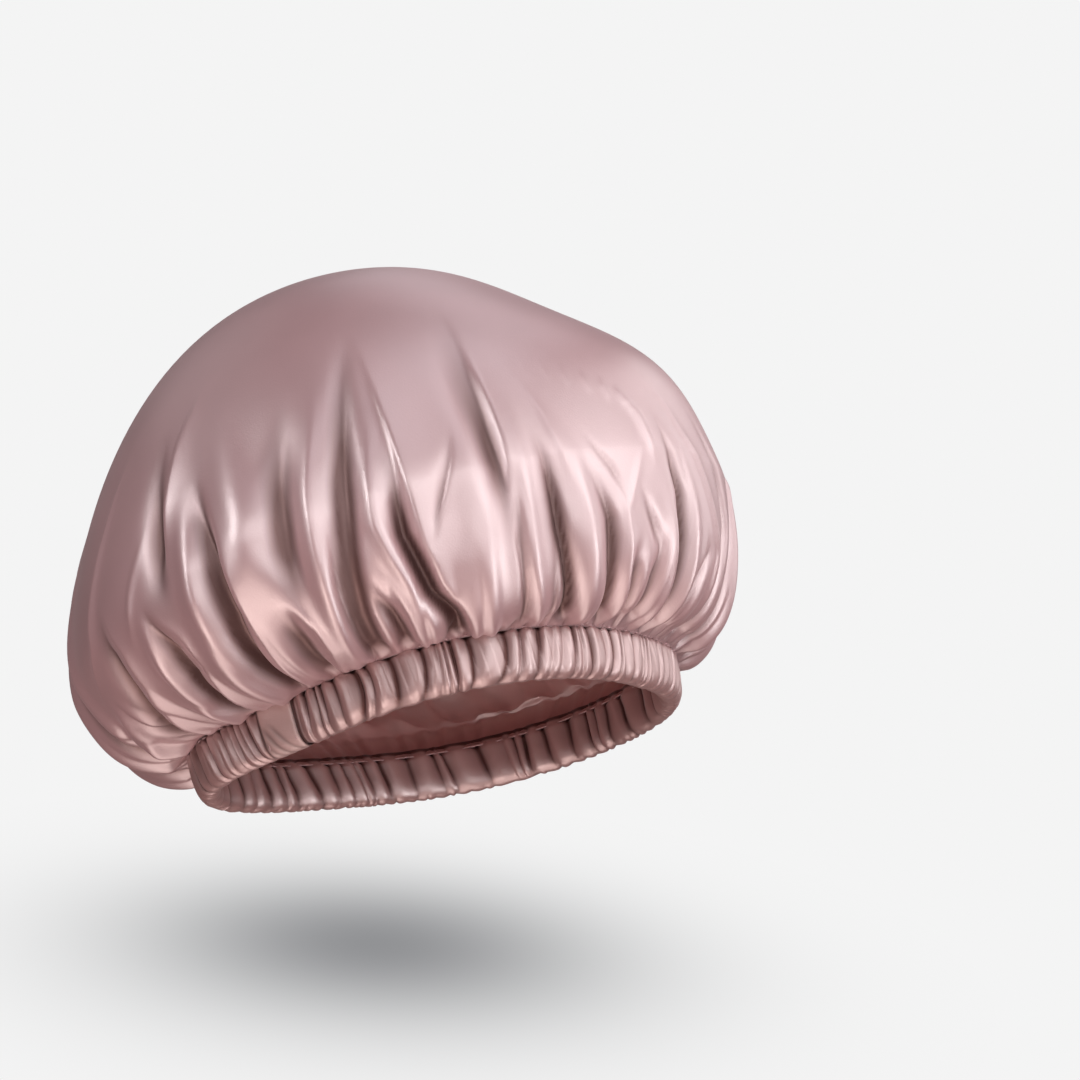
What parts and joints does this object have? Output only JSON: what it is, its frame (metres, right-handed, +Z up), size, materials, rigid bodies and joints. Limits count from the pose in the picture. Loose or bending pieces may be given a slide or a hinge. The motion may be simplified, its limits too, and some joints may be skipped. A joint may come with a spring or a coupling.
{
  "type": "hair bonnet",
  "caption": "Soft satin sleep bonnet with a full gathered crown, a smooth lining and a ruched elastic casing round the head opening",
  "frame": {"origin": "under the middle of the whole bonnet, level with the rim of the casing", "axes": "+Z up from the head opening to the crown, +X towards the forehead, -X towards the nape; the casing is joined under its tab 10.5 degrees past -X"},
  "size_m": [0.2476, 0.2498, 0.178],
  "materials": {
    "outer_satin": "dusty rose charmeuse, glossy satin face",
    "lining_satin": "dusty rose charmeuse, satin face towards the hair",
    "casing_satin": "dusty rose charmeuse, ruched over elastic",
    "tab_satin": "dusty rose charmeuse, pressed flat",
    "woven_elastic": "matt off-white woven elastic",
    "sewing_thread": "dusty rose polyester thread"
  },
  "bodies": {
    "root": {"outer_crown": "outer_satin", "lining_crown": "lining_satin", "band_casing": "casing_satin", "casing_join_tab": "tab_satin", "elastic_band": "woven_elastic", "elastic_join_stitches": "sewing_thread", "outer_seam_thread": "sewing_thread", "lining_seam_thread": "sewing_thread", "tab_stitch_left": "sewing_thread", "tab_stitch_right": "sewing_thread"}
  },
  "joints": []
}
